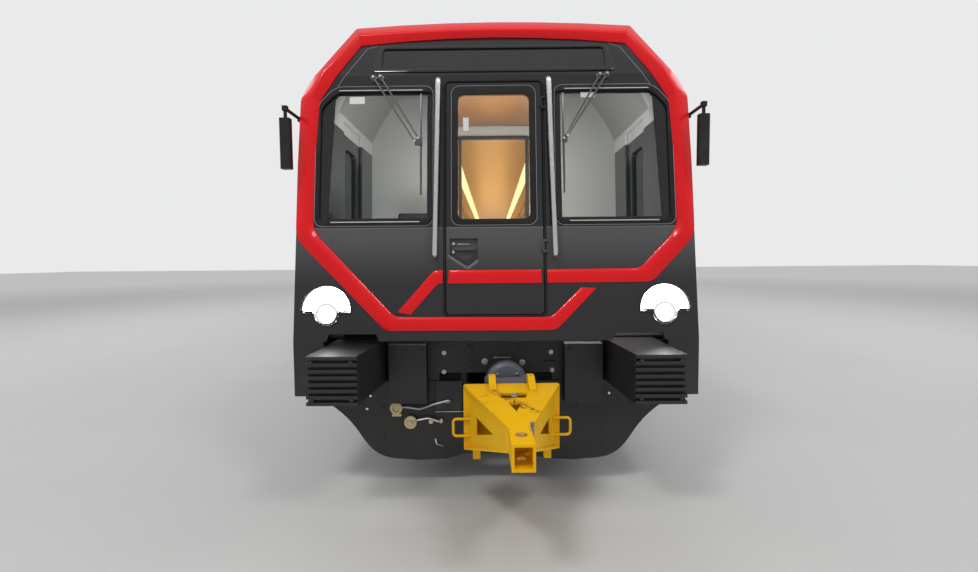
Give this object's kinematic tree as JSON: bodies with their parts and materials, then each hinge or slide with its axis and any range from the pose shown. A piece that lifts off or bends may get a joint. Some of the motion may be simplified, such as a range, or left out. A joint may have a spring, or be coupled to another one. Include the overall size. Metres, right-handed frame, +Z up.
{
  "type": "metro cab car",
  "caption": "Metro train cab car with a raked octagonal front, pocketed sliding saloon doors, a front emergency door, bogies, and a coupler that carries a tow adapter.",
  "frame": {"origin": "centre of the footprint at the tips of the wheel flanges, so the rail head is 28 mm above it", "axes": "-Y is the cab end, +Z up, +X the car's own left"},
  "size_m": [3.004, 18.9129, 3.6899],
  "materials": {
    "body_paint": "satin",
    "frame_paint": "satin",
    "mask_paint": "gloss",
    "red_paint": "gloss",
    "window_glass": "gloss",
    "door_paint": "satin",
    "lamp_glass": "gloss",
    "display_black": "gloss",
    "block_black": "matte",
    "apron_grey": "satin",
    "rail_steel": "satin",
    "arm_black": "matte",
    "bellows_rubber": "matte",
    "unit_grey": "satin",
    "equipment_grey": "satin",
    "coupler_grey": "satin",
    "adapter_yellow": "worn",
    "wheel_steel": "worn",
    "bogie_paint": "satin",
    "spring_rubber": "matte",
    "lining_white": "satin",
    "partition_grey": "satin",
    "seat_plastic": "satin",
    "desk_grey": "satin",
    "seat_fabric": "woven"
  },
  "bodies": {
    "carbody": {"underframe": "frame_paint", "side_wall_left": "body_paint", "side_wall_right": "body_paint", "roof_shell": "body_paint", "cab_shell": "body_paint", "front_mask": "mask_paint", "mask_rim": "red_paint", "windscreens": "window_glass", "destination_display": "display_black", "headlamps": "lamp_glass", "anti_climbers": "block_black", "front_apron": "apron_grey", "front_grab_rails": "rail_steel", "mirrors": "arm_black", "wipers": "arm_black", "side_windows": "window_glass", "rear_end_wall": "body_paint", "gangway_bellows": "bellows_rubber", "roof_units": "unit_grey", "underfloor_equipment": "equipment_grey", "ceiling_panel": "lining_white", "cab_partition": "partition_grey", "saloon_seats": "seat_plastic", "grab_poles": "rail_steel", "driver_desk": "desk_grey", "driver_seat": "seat_fabric"},
    "front_door": {"front_door": "mask_paint", "front_door_band": "red_paint", "front_door_glass": "window_glass"},
    "doors_left_fore": {"door_leaves_left_fore": "door_paint", "door_glass_left_fore": "window_glass"},
    "doors_left_aft": {"door_leaves_left_aft": "door_paint", "door_glass_left_aft": "window_glass"},
    "cab_door_left": {"cab_door_left": "door_paint", "cab_door_glass_left": "window_glass"},
    "doors_right_fore": {"door_leaves_right_fore": "door_paint", "door_glass_right_fore": "window_glass"},
    "doors_right_aft": {"door_leaves_right_aft": "door_paint", "door_glass_right_aft": "window_glass"},
    "cab_door_right": {"cab_door_right": "door_paint", "cab_door_glass_right": "window_glass"},
    "bogie_front": {"bogie_frame_front": "bogie_paint", "suspension_front": "spring_rubber"},
    "wheelset_front_1": {"wheelset_front_1": "wheel_steel"},
    "wheelset_front_2": {"wheelset_front_2": "wheel_steel"},
    "bogie_rear": {"bogie_frame_rear": "bogie_paint", "suspension_rear": "spring_rubber"},
    "wheelset_rear_1": {"wheelset_rear_1": "wheel_steel"},
    "wheelset_rear_2": {"wheelset_rear_2": "wheel_steel"},
    "coupler": {"coupler": "coupler_grey", "tow_adapter": "adapter_yellow"},
    "rear_drawbar": {"rear_drawbar": "coupler_grey"}
  },
  "joints": [
    {"name": "front_door_hinge", "type": "hinge", "parent": "carbody", "child": "front_door", "pos_m": [0.35, -8.401, 1.33586], "axis": [0, 0.1392, 0.9903], "range_deg": [0, 88]},
    {"name": "doors_left_fore_slide", "type": "slide", "parent": "carbody", "child": "doors_left_fore", "axis": [0, -1, 0], "range_m": [0, 0.636]},
    {"name": "doors_left_aft_slide", "type": "slide", "parent": "carbody", "child": "doors_left_aft", "axis": [0, 1, 0], "range_m": [0, 0.636]},
    {"name": "cab_door_left_slide", "type": "slide", "parent": "carbody", "child": "cab_door_left", "axis": [0, 1, 0], "range_m": [0, 0.59]},
    {"name": "doors_right_fore_slide", "type": "slide", "parent": "carbody", "child": "doors_right_fore", "axis": [0, -1, 0], "range_m": [0, 0.636]},
    {"name": "doors_right_aft_slide", "type": "slide", "parent": "carbody", "child": "doors_right_aft", "axis": [0, 1, 0], "range_m": [0, 0.636]},
    {"name": "cab_door_right_slide", "type": "slide", "parent": "carbody", "child": "cab_door_right", "axis": [0, 1, 0], "range_m": [0, 0.59]},
    {"name": "bogie_front_swivel", "type": "hinge", "parent": "carbody", "child": "bogie_front", "pos_m": [0, -5.395, 0.8], "axis": [0, 0, 1], "range_deg": [-4, 4]},
    {"name": "wheelset_front_1_spin", "type": "hinge", "parent": "bogie_front", "child": "wheelset_front_1", "pos_m": [0, -6.47, 0.448], "axis": [1, 0, 0], "continuous": true},
    {"name": "wheelset_front_2_spin", "type": "hinge", "parent": "bogie_front", "child": "wheelset_front_2", "pos_m": [0, -4.32, 0.448], "axis": [1, 0, 0], "continuous": true},
    {"name": "bogie_rear_swivel", "type": "hinge", "parent": "carbody", "child": "bogie_rear", "pos_m": [0, 5.905, 0.8], "axis": [0, 0, 1], "range_deg": [-4, 4]},
    {"name": "wheelset_rear_1_spin", "type": "hinge", "parent": "bogie_rear", "child": "wheelset_rear_1", "pos_m": [0, 4.83, 0.448], "axis": [1, 0, 0], "continuous": true},
    {"name": "wheelset_rear_2_spin", "type": "hinge", "parent": "bogie_rear", "child": "wheelset_rear_2", "pos_m": [0, 6.98, 0.448], "axis": [1, 0, 0], "continuous": true},
    {"name": "coupler_swing", "type": "hinge", "parent": "carbody", "child": "coupler", "pos_m": [0, -7.515, 0.73], "axis": [0, 0, 1], "range_deg": [-17.9, 6.1]},
    {"name": "rear_drawbar_swing", "type": "hinge", "parent": "carbody", "child": "rear_drawbar", "pos_m": [0, 8.585, 0.73], "axis": [0, 0, 1], "range_deg": [-12, 12]}
  ],
  "couplings": [
    {"joint": "doors_left_aft_slide", "follows": "doors_left_fore_slide", "ratio": 1},
    {"joint": "doors_right_aft_slide", "follows": "doors_right_fore_slide", "ratio": 1}
  ]
}
